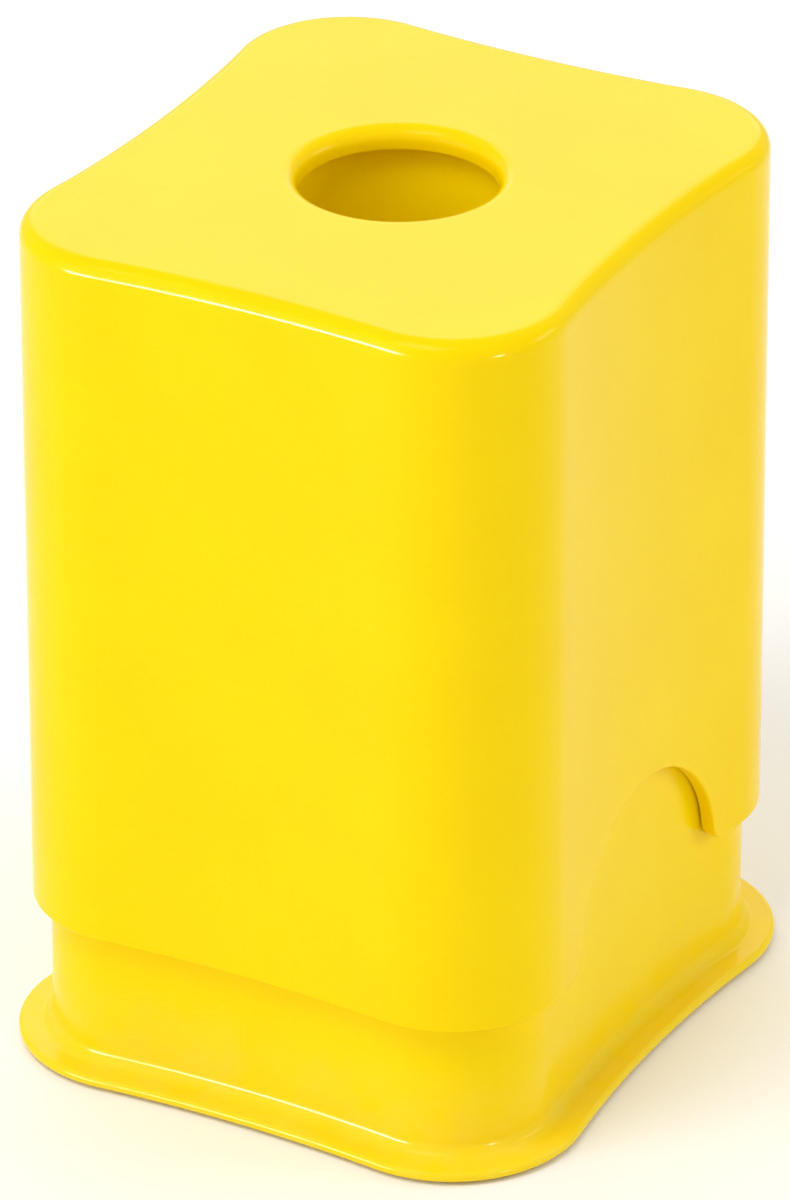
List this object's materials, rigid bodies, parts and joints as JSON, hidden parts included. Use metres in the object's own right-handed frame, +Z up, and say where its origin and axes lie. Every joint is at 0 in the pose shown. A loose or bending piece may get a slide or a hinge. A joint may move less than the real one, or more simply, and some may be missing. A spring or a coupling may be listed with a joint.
{
  "type": "chain stanchion base",
  "caption": "weighted base for a barrier chain post: a lift-off hood with hand arches over a ballasted body with a foot flange and a funnel-mouthed post socket",
  "frame": {"origin": "on the ground, under the middle of the post socket", "axes": "+Z up along the post, +Y along the longer side of the plan, +X towards one of the two faces with a hand arch"},
  "size_m": [0.1606, 0.1772, 0.2375],
  "materials": {
    "hood_plastic": "glossy moulded yellow plastic",
    "shell_plastic": "glossy moulded yellow plastic",
    "socket_plastic": "satin yellow plastic",
    "black_plastic": "matte black plastic",
    "concrete": "cast concrete",
    "steel": "zinc-plated steel",
    "rubber": "matte black rubber"
  },
  "bodies": {
    "base": {"body_shell": "shell_plastic", "socket_tube": "socket_plastic", "socket_end_plug": "black_plastic", "ballast_block": "concrete", "base_plate": "black_plastic", "base_plate_screws": "steel", "foot_pad_1": "rubber", "foot_pad_2": "rubber", "foot_pad_3": "rubber", "foot_pad_4": "rubber"},
    "hood": {"hood": "hood_plastic"}
  },
  "joints": [
    {"name": "hood_lift", "type": "slide", "parent": "base", "child": "hood", "axis": [0, 0, 1], "range_m": [0, 0.2]}
  ]
}
